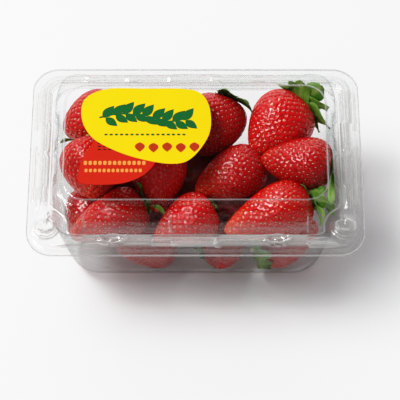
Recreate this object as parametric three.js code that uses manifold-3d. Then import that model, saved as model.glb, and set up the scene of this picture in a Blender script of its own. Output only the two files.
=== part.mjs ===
// A clear hinged punnet of strawberries, shut, with a film sticker on its lid.
// Millimetres. X runs along the punnet, -Y is its front with the two snaps, +Z is up and z = 0 is the table.

import * as THREE from 'three';
import { mergeVertices } from 'three/addons/utils/BufferGeometryUtils.js';
import Module from 'manifold-3d';

const wasm = await Module();
wasm.setup();

// ---- driving dimensions ----
const LENGTH = 188.8;          // rim to rim, left to right
const DEPTH = 122;             // rim to rim, front to back
const RIM_RADIUS = 15;         // the rim's corners, seen from above
const SHEET = 0.5;             // thickness of the formed plastic
const RIM_GAP = 0.3;           // between the tray's rim and the lid's
const TRAY_RIM = 67.2;         // top of the tray's rim
const LID_RIM = TRAY_RIM + RIM_GAP + SHEET;
const LID_TOP = 89;            // top of the lid's raised panel
const BEAD_RISE = 2.2;         // height of the stiffening bead that runs round the lid's rim
const BEAD_BACK_RISE = 1.5;    // its top slopes down towards the dome
const TRAY_BEAD_RISE = 0.9;    // the tray's bead nests under it with room to spare
const BEAD_FADE = { none: 9, full: 17 };  // distance from a snap at which the bead has gone, and is whole
const BITE_RADIUS = 12;        // the hollow in the dome's front corners, round each snap
const SNAP = { x: 83.4, y: -43, halfX: 5.2, halfY: 4.2, top: LID_RIM + 2.6 };
const BERRY_ROOM = 0.4;        // the berries stay this far off the plastic
const STICKER = { lift: 0.3, thickness: 0.3, steps: 4 };

const CORNER_STEPS = 8;        // facets in each rounded corner
const LONG_STEPS = 6;          // facets along the front and the back
const SHORT_STEPS = 4;         // facets along each end

const CLEAR_PLASTIC = { color: 0xf2f6f5, roughness: 0.08, metalness: 0 };
const BERRY_RED = { color: 0xb3121a, roughness: 0.35, metalness: 0 };
const STICKER_YELLOW = { color: 0xffd800, roughness: 0.4, metalness: 0 };

// The formed sheets in section, from the rim inwards. Each line is one outline of the upper surface:
// how far in from the rim on the ends (inX) and on the long sides (inY), its corner radius, its height,
// how much more the bead lifts it, and whether its front corners are bitten in round the snaps.
const LID_SECTION = [
  { inX: 0, inY: 0, radius: RIM_RADIUS, z: LID_RIM },
  { inX: 5.2, inY: 5.2, radius: 10.6, z: LID_RIM },
  { inX: 6.1, inY: 6.1, radius: 9.8, z: LID_RIM, rise: BEAD_RISE },
  { inX: 10.4, inY: 10.4, radius: 6.6, z: LID_RIM, rise: BEAD_BACK_RISE },
  { inX: 11.5, inY: 11.5, radius: 6, z: LID_RIM },
  { inX: 13.2, inY: 13.6, radius: 12.6, z: LID_RIM, bitten: true },
  { inX: 14, inY: 14.4, radius: 12.3, z: LID_RIM + 1, bitten: true },
  { inX: 15.2, inY: 15.6, radius: 11.5, z: 83, bitten: true },
  { inX: 16.6, inY: 17, radius: 11, z: 84.9, bitten: true },
  { inX: 19.7, inY: 22.65, radius: 12.4, z: 85.2 },
  { inX: 20.6, inY: 23.6, radius: 12, z: 88.5 },
  { inX: 21.3, inY: 24.25, radius: 11.6, z: LID_TOP },
];
const TRAY_SECTION = [
  { inX: 0, inY: 0, radius: RIM_RADIUS, z: TRAY_RIM },
  { inX: 7, inY: 7, radius: 9.1, z: TRAY_RIM },
  { inX: 7.7, inY: 7.7, radius: 8.5, z: TRAY_RIM, rise: TRAY_BEAD_RISE },
  { inX: 9.6, inY: 9.6, radius: 7.2, z: TRAY_RIM, rise: TRAY_BEAD_RISE },
  { inX: 10.3, inY: 10.3, radius: 6.9, z: TRAY_RIM },
  { inX: 12.8, inY: 13.2, radius: 12.6, z: TRAY_RIM },
  { inX: 14.1, inY: 14.5, radius: 12.5, z: TRAY_RIM - 1.6 },
  { inX: 20.8, inY: 18.85, radius: 16, z: 10 },
  { inX: 22.8, inY: 20.85, radius: 16, z: 4.2 },
  { inX: 26.6, inY: 24.65, radius: 15.5, z: 1.4 },
  { inX: 31.1, inY: 29.15, radius: 14, z: SHEET },
  { inX: 38, inY: 35.65, radius: 12, z: SHEET },
  { inX: 40, inY: 37.65, radius: 11, z: SHEET + 1.5 },
];

// The sticker's two outlines on the lid's panel, as the corner points that each passes through.
const STICKER_OVAL = [
  [-50, 34], [-28, 34.2], [-6, 34], [3.5, 30.5], [8.2, 20], [7.5, 4], [-2, -11],
  [-13, -14.8], [-31, -11.5], [-47, -5.2], [-58.5, 3], [-64, 15], [-62.3, 27.5],
];
const STICKER_FIELD = [
  [-52, 2], [-59, -4], [-63.3, -13], [-65, -23.5], [-62.5, -27.2],
  [-50, -28], [-38, -26.5], [-27.5, -20.8], [-21.5, -11], [-28, -2],
];

// Each berry: its middle, the way its tip points in plan and its tilt (degrees), its length and greatest
// width, how much of its width sits towards the leaves, and how many leaves (sepals) it shows.
const BERRIES = [
  { at: [-59.5, 29, 64], heading: 200, tilt: -15, length: 36, width: 32, taper: 0.25, sepals: 0 },
  { at: [-59, -4, 66], heading: 278, tilt: -8, length: 37, width: 35, taper: 0.25, sepals: 6 },
  { at: [-49, -30, 52], heading: 203, tilt: -10, length: 48, width: 31, taper: 0.38, sepals: 6 },
  { at: [-21.5, -5, 58], heading: 268, tilt: -38, length: 41, width: 33, taper: 0.34, sepals: 0 },
  { at: [11, 26.5, 62], heading: 248, tilt: -18, length: 38, width: 35, taper: 0.28, sepals: 7 },
  { at: [47, 24, 64], heading: 230, tilt: -2, length: 44, width: 36, taper: 0.36, sepals: 8 },
  { at: [58.2, -1.5, 67], heading: 172, tilt: -5, length: 43, width: 31, taper: 0.38, sepals: 7 },
  { at: [20, -4.5, 57], heading: 207, tilt: 0, length: 45, width: 31, taper: 0.38, sepals: 0 },
  { at: [41.5, -30, 58], heading: 200, tilt: -8, length: 54, width: 31, taper: 0.45, sepals: 8 },
  { at: [-5.5, -32.5, 52], heading: 208, tilt: -8, length: 40, width: 29, taper: 0.4, sepals: 0 },
  { at: [-22.5, 29.5, 53], heading: 180, tilt: -10, length: 36, width: 31, taper: 0.35, sepals: 0 },
  { at: [-62, -19.5, 37], heading: 250, tilt: 10, length: 36, width: 30, taper: 0.3, sepals: 0 },
  { at: [-28.5, -26.5, 19], heading: 190, tilt: 0, length: 38, width: 34, taper: 0.38, sepals: 0 },
  { at: [16, -24, 19], heading: 35, tilt: 0, length: 36, width: 33, taper: 0.38, sepals: 0 },
  { at: [53, -24, 19], heading: 20, tilt: 5, length: 40, width: 33, taper: 0.38, sepals: 6 },
  { at: [-51.5, 18, 22], heading: 120, tilt: -50, length: 42, width: 36, taper: 0.38, sepals: 0 },
  { at: [-11.5, 12, 22], heading: 20, tilt: -25, length: 40, width: 34, taper: 0.38, sepals: 0 },
  { at: [26, 17, 25], heading: 110, tilt: -45, length: 42, width: 34, taper: 0.38, sepals: 0 },
  { at: [59.5, 14, 23], heading: 80, tilt: -60, length: 44, width: 33, taper: 0.38, sepals: 0 },
];
const BERRY_SIDES = 12;
const BERRY_RINGS = 8;
const SEPAL = { length: 13, width: 8, thickness: 0.9, steps: 4, curl: 4, wave: 0.8, sink: 3 };

// The heap's own core: a rounded block out of sight between the berries, which joins them all.
const CORE = { halfX: 56, halfY: 26, radius: 14, low: 14, high: 54, pinch: 8 };

// ---- solids from rings ----

// A geometry with its faces turned outwards, whichever way round they were listed.
function facingOut(points, faces) {
  let volume = 0;
  for (let i = 0; i < faces.length; i += 3) {
    const [a, b, c] = faces.slice(i, i + 3).map((index) => points[index]);
    volume += new THREE.Vector3().crossVectors(b, c).dot(a);
  }
  if (volume < 0) {
    faces.reverse();
  }
  const geometry = new THREE.BufferGeometry().setFromPoints(points);
  geometry.setIndex(faces);
  return geometry;
}

// Lays faces between rings of equally many points and closes both ends with a fan round their middle.
function loft(rings) {
  const count = rings[0].length;
  const points = rings.flat();
  const faces = [];
  for (let ring = 0; ring + 1 < rings.length; ring += 1) {
    for (let i = 0; i < count; i += 1) {
      const a = ring * count + i;
      const b = ring * count + ((i + 1) % count);
      faces.push(a, b, b + count);
      faces.push(a, b + count, a + count);
    }
  }
  [0, rings.length - 1].forEach((ring) => {
    const middle = new THREE.Vector3();
    rings[ring].forEach((point) => middle.addScaledVector(point, 1 / count));
    points.push(middle);
    for (let i = 0; i < count; i += 1) {
      const a = ring * count + i;
      const b = ring * count + ((i + 1) % count);
      faces.push(...(ring === 0 ? [b, a] : [a, b]), points.length - 1);
    }
  });
  return facingOut(points, faces);
}

function toManifold(geometry) {
  const bare = geometry.clone();
  bare.deleteAttribute('normal');
  bare.deleteAttribute('uv');
  const merged = mergeVertices(bare, 1e-3);
  return new wasm.Manifold(new wasm.Mesh({
    numProp: 3,
    vertProperties: new Float32Array(merged.attributes.position.array),
    triVerts: new Uint32Array(merged.index.array),
  }));
}

function toGeometry(manifold) {
  const mesh = manifold.getMesh();
  const geometry = new THREE.BufferGeometry();
  geometry.setAttribute('position', new THREE.BufferAttribute(mesh.vertProperties, 3));
  geometry.setIndex(new THREE.BufferAttribute(mesh.triVerts, 1));
  return geometry;
}

// ---- the punnet's outlines ----

// One corner of an outline as a plain quarter circle. Quarters 0 to 3 run round from the back right.
function roundCorner(halfX, halfY, radius, quarter) {
  const signX = quarter === 0 || quarter === 3 ? 1 : -1;
  const signY = quarter < 2 ? 1 : -1;
  const points = [];
  for (let i = 0; i <= CORNER_STEPS; i += 1) {
    const angle = (quarter + i / CORNER_STEPS) * (Math.PI / 2);
    const x = signX * (halfX - radius) + radius * Math.cos(angle);
    const y = signY * (halfY - radius) + radius * Math.sin(angle);
    points.push([x, y]);
  }
  return points;
}

// A front corner bitten in by a circle round its snap. It runs from the end wall to the front wall on the
// left (quarter 2) and back from the front wall to the end wall on the right (quarter 3).
function bittenCorner(halfX, halfY, biteRadius, quarter) {
  const atEnd = -Math.acos((halfX - SNAP.x) / biteRadius);
  const atFront = -Math.PI - Math.asin((halfY + SNAP.y) / biteRadius);
  const side = quarter === 2 ? -1 : 1;
  const points = [];
  for (let i = 0; i <= CORNER_STEPS; i += 1) {
    const angle = atEnd + ((atFront - atEnd) * i) / CORNER_STEPS;
    const x = side * (SNAP.x + biteRadius * Math.cos(angle));
    const y = SNAP.y - biteRadius * Math.sin(angle);
    points.push([x, y]);
  }
  return quarter === 2 ? points : points.reverse();
}

// The share of the bead's height at a point: it dies away on the flat front corners that carry the snaps.
function beadShare(x, y) {
  const distance = Math.hypot(Math.abs(x) - SNAP.x, y - SNAP.y);
  return THREE.MathUtils.smoothstep(distance, BEAD_FADE.none, BEAD_FADE.full);
}

// A whole outline as 3-D points, with the straight sides divided so that every outline has as many.
function outline({ inX, inY, radius, z, rise = 0, bitten = false, shift = 0 }) {
  const halfX = LENGTH / 2 - inX;
  const halfY = DEPTH / 2 - inY;
  const corners = [0, 1, 2, 3].map((quarter) => (
    bitten && quarter >= 2
      ? bittenCorner(halfX, halfY, BITE_RADIUS + shift, quarter)
      : roundCorner(halfX, halfY, radius, quarter)
  ));
  const points = [];
  const place = (x, y) => points.push(new THREE.Vector3(x, y, z + rise * beadShare(x, y)));
  corners.forEach((corner, quarter) => {
    corner.forEach(([x, y]) => place(x, y));
    const from = corner[CORNER_STEPS];
    const to = corners[(quarter + 1) % 4][0];
    const steps = quarter % 2 === 0 ? LONG_STEPS : SHORT_STEPS;
    for (let i = 1; i < steps; i += 1) {
      const x = THREE.MathUtils.lerp(from[0], to[0], i / steps);
      const y = THREE.MathUtils.lerp(from[1], to[1], i / steps);
      place(x, y);
    }
  });
  return points;
}

// The same section moved square to itself by a distance: down under the rim, inwards on the lid's walls
// and outwards on the tray's. The two ends only move in height.
function moved(section, distance) {
  const height = ({ z, rise = 0 }) => z + rise;
  const directions = section.slice(1).map((line, i) => (
    new THREE.Vector2(line.inX - section[i].inX, height(line) - height(section[i])).normalize()
  ));
  return section.map((line, i) => {
    const before = directions[Math.max(i - 1, 0)];
    const after = directions[Math.min(i, directions.length - 1)];
    const along = before.clone().add(after).normalize();
    const normal = new THREE.Vector2(along.y, -along.x);
    const stretch = distance / along.dot(after);
    const shift = normal.x * stretch;
    return {
      ...line,
      inX: line.inX + shift,
      inY: line.inY + shift,
      radius: line.radius - shift,
      z: line.z + normal.y * stretch,
      shift,
    };
  });
}

// A formed sheet: its upper surface from the middle out to the rim, then its underside back again.
function sheet(section) {
  const upper = section.map(outline);
  const lower = moved(section, SHEET).map(outline);
  return loft([...upper.reverse(), ...lower]);
}

// ---- pieces ----

// An oval button that stands on the lid's flat front corner.
function snapButton(side) {
  const height = SNAP.top - (LID_RIM - SHEET);
  const button = new THREE.CylinderGeometry(0.85, 1, height, 16);
  button.rotateX(Math.PI / 2);
  button.scale(SNAP.halfX, SNAP.halfY, 1);
  button.translate(side * SNAP.x, SNAP.y, SNAP.top - height / 2);
  return button;
}

function lidGeometry() {
  const buttons = [-1, 1].map((side) => toManifold(snapButton(side)));
  return toGeometry(buttons.reduce((lid, button) => lid.add(button), toManifold(sheet(LID_SECTION))));
}

// The space inside the shut punnet, a little smaller than its walls leave.
function roomInside() {
  const trayInner = moved(TRAY_SECTION.slice(6), -BERRY_ROOM).reverse();
  const underLid = moved(LID_SECTION, SHEET + BERRY_ROOM).slice(6);
  const mouth = { ...trayInner[trayInner.length - 1], z: LID_RIM - SHEET - BERRY_ROOM - 0.1 };
  const foot = { ...underLid[0], z: mouth.z + 0.1 };
  return toManifold(loft([...trayInner, mouth, foot, ...underLid.slice(1)].map(outline)));
}

// A berry in its own frame: the tip on +Z, the leaves' end on -Z, turned from half an outline.
function berryBody({ length, width, taper }) {
  const steps = Array.from({ length: BERRY_RINGS + 1 }, (_, i) => (Math.PI * i) / BERRY_RINGS);
  const swell = steps.map((angle) => Math.sin(angle) * (1 + taper * Math.cos(angle)));
  const widest = Math.max(...swell);
  const half = steps.map((angle, i) => (
    new THREE.Vector2(i === 0 || i === BERRY_RINGS ? 0 : (width / 2) * (swell[i] / widest),
      (-length / 2) * Math.cos(angle))
  ));
  const body = new THREE.LatheGeometry(half, BERRY_SIDES);
  return body.rotateX(Math.PI / 2);
}

// A leaf of the berry's cap: a thin wavy solid three points wide, both faces split alike. It starts on the
// axis, lies out along +X over the berry's shoulder and curls up and away from it at its tip.
function sepal(turn, length) {
  const points = [];
  const faces = [];
  for (const face of [0, 1]) {
    for (let i = 0; i <= SEPAL.steps; i += 1) {
      const t = i / SEPAL.steps;
      const half = (SEPAL.width / 2) * (0.45 + 0.55 * Math.sin(Math.PI * Math.min(1, t * 1.25)));
      const taperedHalf = i === SEPAL.steps ? 0.4 : half;
      for (const side of [-1, 0, 1]) {
        const bend = -SEPAL.curl * t * t + SEPAL.wave * Math.sin(5 * t + turn) * side;
        points.push(new THREE.Vector3(length * t, side * taperedHalf, bend - face * SEPAL.thickness));
      }
    }
  }
  const row = 3;
  const back = row * (SEPAL.steps + 1);
  for (let i = 0; i < SEPAL.steps; i += 1) {
    for (let j = 0; j < row - 1; j += 1) {
      const a = i * row + j;
      faces.push(a, a + row, a + row + 1, a, a + row + 1, a + 1);
      faces.push(a + back, a + back + row + 1, a + back + row, a + back, a + back + 1, a + back + row + 1);
    }
    for (const edge of [i * row, (i + 1) * row - 1]) {
      const quad = [edge, edge + back, edge + back + row, edge, edge + back + row, edge + row];
      faces.push(...(edge % row === 0 ? quad : quad.reverse()));
    }
  }
  for (const end of [0, SEPAL.steps * row]) {
    for (let j = 0; j < row - 1; j += 1) {
      const a = end + j;
      const quad = [a, a + 1, a + 1 + back, a, a + 1 + back, a + back];
      faces.push(...(end === 0 ? quad : quad.reverse()));
    }
  }
  const leaf = facingOut(points, faces);
  return leaf.rotateZ(turn);
}

// A berry with its cap of leaves, turned to its heading and tilt and set in its place.
function berry(plan) {
  let solid = toManifold(berryBody(plan));
  for (let i = 0; i < plan.sepals; i += 1) {
    const turn = (2 * Math.PI * i) / plan.sepals + 0.4;
    const leaf = sepal(turn, SEPAL.length + 1.5 * Math.sin(3 * i + 1));
    leaf.translate(0, 0, -plan.length / 2 + SEPAL.sink);
    solid = solid.add(toManifold(leaf));
  }
  const geometry = toGeometry(solid);
  const heading = THREE.MathUtils.degToRad(plan.heading);
  const tilt = THREE.MathUtils.degToRad(plan.tilt);
  geometry.rotateY(Math.PI / 2 - tilt);
  geometry.rotateZ(heading);
  geometry.translate(...plan.at);
  return toManifold(geometry);
}

function heapCore() {
  const heights = [CORE.low, CORE.low + CORE.pinch, CORE.high - CORE.pinch, CORE.high];
  const rings = heights.map((z, i) => {
    const inset = i === 0 || i === heights.length - 1 ? CORE.pinch : 0;
    return outline({
      inX: LENGTH / 2 - CORE.halfX + inset,
      inY: DEPTH / 2 - CORE.halfY + inset,
      radius: CORE.radius,
      z,
    });
  });
  return toManifold(loft(rings));
}

// Every berry fused to the core and trimmed to the room inside; scraps that the trim leaves loose go.
function heapGeometry() {
  const fused = BERRIES.reduce((heap, plan) => heap.add(berry(plan)), heapCore());
  const pieces = fused.intersect(roomInside()).decompose();
  const largest = pieces.reduce((best, piece) => (piece.numTri() > best.numTri() ? piece : best));
  return toGeometry(largest);
}

// A closed shape that runs smoothly through a few corner points.
function smoothShape(corners) {
  const points = corners.map(([x, y]) => new THREE.Vector3(x, y, 0));
  const curve = new THREE.CatmullRomCurve3(points, true, 'catmullrom', 0.5);
  const outlinePoints = curve.getPoints(corners.length * STICKER.steps).slice(0, -1);
  return new THREE.Shape(outlinePoints.map((point) => new THREE.Vector2(point.x, point.y)));
}

// The sticker: a big soft-cornered oval and a field that shows below its left end, cut as one film.
function stickerGeometry() {
  const film = { depth: STICKER.thickness, bevelEnabled: false };
  const solids = [STICKER_OVAL, STICKER_FIELD].map((corners) => (
    toManifold(new THREE.ExtrudeGeometry(smoothShape(corners), film))
  ));
  const geometry = toGeometry(solids[0].add(solids[1]));
  return geometry.translate(0, 0, LID_TOP + STICKER.lift);
}

// ---- the punnet, put together ----

function piece(name, geometry, finish) {
  const mesh = new THREE.Mesh(geometry, new THREE.MeshStandardMaterial(finish));
  mesh.name = name;
  return mesh;
}

const tray = new THREE.Group();
tray.add(piece('tray', sheet(TRAY_SECTION), CLEAR_PLASTIC));
tray.add(piece('strawberries', heapGeometry(), BERRY_RED));

const lid = new THREE.Group();
lid.add(piece('lid', lidGeometry(), CLEAR_PLASTIC));
lid.add(piece('sticker', stickerGeometry(), STICKER_YELLOW));

const punnet = new THREE.Group();
punnet.add(tray, lid);

export default punnet;
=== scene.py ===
import math

import bpy
import numpy as np
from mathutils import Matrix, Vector


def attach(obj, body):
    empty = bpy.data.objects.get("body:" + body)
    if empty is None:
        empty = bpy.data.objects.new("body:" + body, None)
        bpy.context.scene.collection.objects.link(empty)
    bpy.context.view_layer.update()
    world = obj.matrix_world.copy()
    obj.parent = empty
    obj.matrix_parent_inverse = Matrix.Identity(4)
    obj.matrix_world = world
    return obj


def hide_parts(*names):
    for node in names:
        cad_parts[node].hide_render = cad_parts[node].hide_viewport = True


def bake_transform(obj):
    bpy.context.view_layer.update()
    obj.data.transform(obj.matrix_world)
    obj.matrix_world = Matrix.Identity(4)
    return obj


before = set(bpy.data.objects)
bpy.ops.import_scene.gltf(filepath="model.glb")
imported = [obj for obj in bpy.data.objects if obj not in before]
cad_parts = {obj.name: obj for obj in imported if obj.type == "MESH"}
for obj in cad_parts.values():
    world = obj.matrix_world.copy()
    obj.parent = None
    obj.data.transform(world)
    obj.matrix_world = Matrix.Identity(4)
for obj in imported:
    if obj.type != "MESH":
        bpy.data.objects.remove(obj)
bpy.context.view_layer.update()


# ---------------------------------------------------------------- camera
# A long lens looks down on the shut punnet from the front, a little over sixty degrees above the table, so
# that the rims stay nearly parallel. Depth of field is off.
CAMERA_PLACE = (0.0025, -0.4985, 0.9388)
CAMERA_AIM = (0.0025, -0.0245, 0.065)
FOCAL_LENGTH = 158.9
SENSOR_WIDTH = 36.0


def put_in_scene(name, data, place=(0, 0, 0), aim=None):
    """A new object in the scene. A camera or a light is turned towards its aim."""
    thing = bpy.data.objects.new(name, data)
    thing.location = place
    if aim is not None:
        thing.rotation_euler = (Vector(aim) - thing.location).to_track_quat("-Z", "Y").to_euler()
    bpy.context.scene.collection.objects.link(thing)
    return thing


camera_data = bpy.data.cameras.new("camera")
camera_data.sensor_width = SENSOR_WIDTH
camera_data.lens = FOCAL_LENGTH
bpy.context.scene.camera = put_in_scene("camera", camera_data, CAMERA_PLACE, CAMERA_AIM)


# ---------------------------------------------------------------- table and light
# A plain white table. A softbox above it, to the left and a little behind, throws a soft shadow to the right
# and the front, and a small weak one at the front left lightens it. The room is brightest low behind the
# punnet, and dark overhead and in front, which leaves the flat top of the lid clear.
TABLE_HALF = 3.0
TABLE_WHITE = (0.86, 0.86, 0.87, 1.0)
SOFTBOX_PLACE = (-0.95, 0.25, 1.76)
SOFTBOX_SIZE = 0.85
SOFTBOX_POWER = 22.5
FILL_PLACE = (-0.45, -1.05, 1.55)
FILL_SIZE = 0.7
FILL_POWER = 1.6
LIGHTS_AIM = (0, 0, 0.04)
ROOM_COLOUR = (0.97, 0.98, 1.0, 1.0)
ROOM_BRIGHTNESS = 0.46
ROOM_LEAN = (0.05, 0.32, 0.0)
ROOM_EVEN = 0.62
GLOW_TOWARDS = (0.0, 0.94, 0.342)
GLOW_EDGE = (0.78, 0.93)
GLOW_BRIGHTNESS = 0.7
CLEAR_LAYERS_SEEN_THROUGH = 32


def soft_light(name, place, size, power):
    """A square softbox that faces the punnet."""
    light_data = bpy.data.lights.new(name, "AREA")
    light_data.shape = "SQUARE"
    light_data.size = size
    light_data.energy = power
    put_in_scene(name, light_data, place, LIGHTS_AIM)


def feed(shader, inputs):
    """Links a shader node's inputs to the sockets that are given, or sets their values."""
    for name, value in inputs.items():
        if isinstance(value, bpy.types.NodeSocket):
            shader.id_data.links.new(value, shader.inputs[name])
        else:
            shader.inputs[name].default_value = value


def node(tree, kind, inputs=None, **settings):
    """A new shader node with its settings and inputs."""
    made = tree.nodes.new(kind)
    for name, value in settings.items():
        setattr(made, name, value)
    feed(made, inputs or {})
    return made


def calc(tree, operation, *values):
    """The outcome of one step of arithmetic between shader nodes."""
    kind = "ShaderNodeVectorMath" if operation == "DOT_PRODUCT" else "ShaderNodeMath"
    return node(tree, kind, dict(enumerate(values)), operation=operation).outputs["Value"]


def new_material(name):
    """A new material, its node tree and its main shader."""
    material = bpy.data.materials.new(name)
    material.use_nodes = True
    return material, material.node_tree, material.node_tree.nodes["Principled BSDF"]


soft_light("softbox", SOFTBOX_PLACE, SOFTBOX_SIZE, SOFTBOX_POWER)
soft_light("fill", FILL_PLACE, FILL_SIZE, FILL_POWER)

room = bpy.data.worlds.new("studio")
room.use_nodes = True
studio = room.node_tree
direction = node(studio, "ShaderNodeTexCoord").outputs["Generated"]
height = node(studio, "ShaderNodeSeparateXYZ", {"Vector": direction}).outputs["Z"]
height_squared = calc(studio, "MULTIPLY", height, height)
wall_share = calc(studio, "MULTIPLY_ADD", height_squared, -ROOM_BRIGHTNESS, ROOM_BRIGHTNESS)
side_share = calc(studio, "ADD", calc(studio, "DOT_PRODUCT", direction, ROOM_LEAN), ROOM_EVEN)
glow = node(studio, "ShaderNodeMapRange", {
    "Value": calc(studio, "DOT_PRODUCT", direction, GLOW_TOWARDS),
    "From Min": GLOW_EDGE[0], "From Max": GLOW_EDGE[1], "To Max": GLOW_BRIGHTNESS,
}, interpolation_type="SMOOTHSTEP").outputs["Result"]
room_strength = calc(studio, "ADD", calc(studio, "MULTIPLY", wall_share, side_share), glow)
feed(studio.nodes["Background"], {"Color": ROOM_COLOUR, "Strength": room_strength})
bpy.context.scene.world = room
bpy.context.scene.cycles.transparent_max_bounces = CLEAR_LAYERS_SEEN_THROUGH

# The exposure makes the table nearly white, by a gentle curve: clean deep shadows, and whites that roll off
# softly.
TONE_STEPS = ((0.015, 0.012), (0.06, 0.10), (0.25, 0.47), (0.40, 0.77), (0.475, 0.87), (0.6, 0.94))
BRIGHTEST_TONE = (1.0, 0.985)
view = bpy.context.scene.view_settings
view.view_transform = "Standard"
view.use_curve_mapping = True
tone_curve = view.curve_mapping.curves[3]
tone_curve.points[1].location = BRIGHTEST_TONE
for brightness, printed in TONE_STEPS:
    tone_curve.points.new(brightness, printed)
view.curve_mapping.update()

table_mesh = bpy.data.meshes.new("table")
table_corners = [(x * TABLE_HALF, y * TABLE_HALF, 0) for x, y in ((-1, -1), (1, -1), (1, 1), (-1, 1))]
table_mesh.from_pydata(table_corners, [], [(0, 1, 2, 3)])
table = put_in_scene("table", table_mesh)
table_paint, _, table_shader = new_material("table_white")
feed(table_shader, {"Base Color": TABLE_WHITE, "Roughness": 0.8})
table_mesh.materials.append(table_paint)


# ---------------------------------------------------------------- lid
# The lid is one sheet of clear PET, vacuum formed over a mould: a flat brim, a rounded bead, a steep dome
# with shallow bays in its walls, steepest at the back, and a raised flat panel. Its front corners are bitten
# in round two press-fit snaps, and two oval catches and a lowered finger tab interrupt the front bead.
MM = 0.001
HALF_LENGTH = 94.4
HALF_DEPTH = 61.0
LID_PANEL_TOP = 89.0
SHEET = 0.45
SNAP_X = 83.4
SNAP_Y = -43.0
BITE_RADIUS = 12.0
BITE_SPREAD = 10
BITE_ROUNDS = 30
CORNER_POINTS = 44
LONG_POINTS = 100
SHORT_POINTS = 52

# Outlines from the rim inwards: inset on the ends and on the long sides, corner radius, height, lift of the
# bead, bitten front corners, and the steps to the next outline.
LID_OUTLINES = [
    (0.0, 0.0, 15.0, 68.0, 0.0, False, 5),
    (2.5, 2.5, 13.0, 68.0, 0.0, False, 2),
    (3.0, 3.0, 12.6, 68.5, 0.0, False, 5),
    (5.2, 5.2, 10.6, 68.5, 0.0, False, 3),
    (6.1, 6.1, 9.8, 68.0, 2.2, False, 12),
    (10.4, 10.4, 6.6, 68.0, 1.5, False, 3),
    (11.5, 11.5, 6.0, 68.0, 0.0, False, 21),
    (12.5, 12.9, 12.9, 68.0, 0.0, True, 3),
    (13.5, 13.9, 12.5, 68.8, 0.0, True, 3),
    (14.0, 14.4, 12.3, 70.6, 0.0, True, 3),
    (14.2, 14.6, 12.2, 72.4, 0.0, True, 8),
    (14.8, 15.2, 11.7, 80.6, 0.0, True, 3),
    (15.4, 15.8, 11.4, 83.0, 0.0, True, 4),
    (16.7, 17.1, 11.0, 84.8, 0.0, True, 4),
    (19.7, 22.65, 12.4, 85.2, 0.0, False, 5),
    (20.6, 23.6, 12.0, 88.5, 0.0, False, 3),
    (21.3, 24.25, 11.6, LID_PANEL_TOP, 0.0, False, 3),
    (24.0, 26.95, 10.0, LID_PANEL_TOP, 0.0, False, 3),
    (40.0, 36.65, 8.0, LID_PANEL_TOP, 0.0, False, 3),
    (66.0, 50.65, 5.0, LID_PANEL_TOP, 0.0, False, 1),
]


def rising(value, low, high):
    """Nothing below low and one above high, with a soft step between them."""
    share = np.clip((value - low) / (high - low), 0.0, 1.0)
    return share * share * (3.0 - 2.0 * share)


def falling(value, low, high):
    """One below low and nothing above high, with a soft step between them."""
    return 1.0 - rising(value, low, high)


def window(value, low, high, edge):
    """One between low and high, falling softly to nothing over the width of an edge outside them."""
    return rising(value, low - edge, low) * falling(value, high, high + edge)


def line(value, middle, width):
    """One on a line, and next to nothing two widths away from it."""
    return np.exp(-((value - middle) / width) ** 2)


def round_corner(half_x, half_y, radius, quarter):
    """A corner of an outline as a quarter of a circle, anticlockwise; the back right one is number 0."""
    sign_x = 1 if quarter in (0, 3) else -1
    sign_y = 1 if quarter < 2 else -1
    angle = (quarter + np.linspace(0.0, 1.0, CORNER_POINTS)) * math.pi / 2
    x = sign_x * (half_x - radius) + radius * np.cos(angle)
    y = sign_y * (half_y - radius) + radius * np.sin(angle)
    return np.stack([x, y], axis=1)


def bitten_corner(half_x, half_y, quarter):
    """A front corner hollowed by a circle round its snap, from the end wall to the front wall on the left
    and the other way on the right."""
    at_end = -math.acos((half_x - SNAP_X) / BITE_RADIUS)
    at_front = -math.pi - math.asin((half_y + SNAP_Y) / BITE_RADIUS)
    angle = np.linspace(at_end, at_front, CORNER_POINTS)
    side = -1 if quarter == 2 else 1
    x = side * (SNAP_X + BITE_RADIUS * np.cos(angle))
    y = SNAP_Y - BITE_RADIUS * np.sin(angle)
    points = np.stack([x, y], axis=1)
    return points if quarter == 2 else points[::-1]


def punnet_outline(inset_x, inset_y, radius, bitten):
    """One closed outline seen from above, anticlockwise from the back right corner, in millimetres."""
    half_x = HALF_LENGTH - inset_x
    half_y = HALF_DEPTH - inset_y
    corners = [
        bitten_corner(half_x, half_y, quarter) if bitten and quarter >= 2
        else round_corner(half_x, half_y, radius, quarter)
        for quarter in range(4)
    ]
    stretches = []
    for quarter, corner in enumerate(corners):
        stretches.append(corner)
        count = LONG_POINTS if quarter % 2 == 0 else SHORT_POINTS
        share = np.linspace(0.0, 1.0, count + 2)[1:-1, None]
        stretches.append(corner[-1] * (1 - share) + corners[(quarter + 1) % 4][0] * share)
    points = np.concatenate(stretches)
    if bitten:
        left = 2 * CORNER_POINTS + LONG_POINTS + SHORT_POINTS
        right = left + CORNER_POINTS + LONG_POINTS
        near_bite = np.zeros((len(points), 1), bool)
        for first in (left, right):
            near_bite[first - BITE_SPREAD:first + CORNER_POINTS + BITE_SPREAD] = True
        for _ in range(BITE_ROUNDS):
            middle = (np.roll(points, 1, axis=0) + np.roll(points, -1, axis=0)) / 2
            points = np.where(near_bite, (points + middle) / 2, points)
    return points


def from_place(points, x, y, half_x=1.0, half_y=1.0):
    """How far out and how far back each point lies from a place that the pack has on both sides, measured
    in halves of what stands there."""
    return (np.abs(points[..., 0]) - x) / half_x, (points[..., 1] - y) / half_y


def snap_distance(points):
    """How far each point lies from the middle of the nearer snap, seen from above."""
    return np.hypot(*from_place(points, SNAP_X, SNAP_Y))


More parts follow.
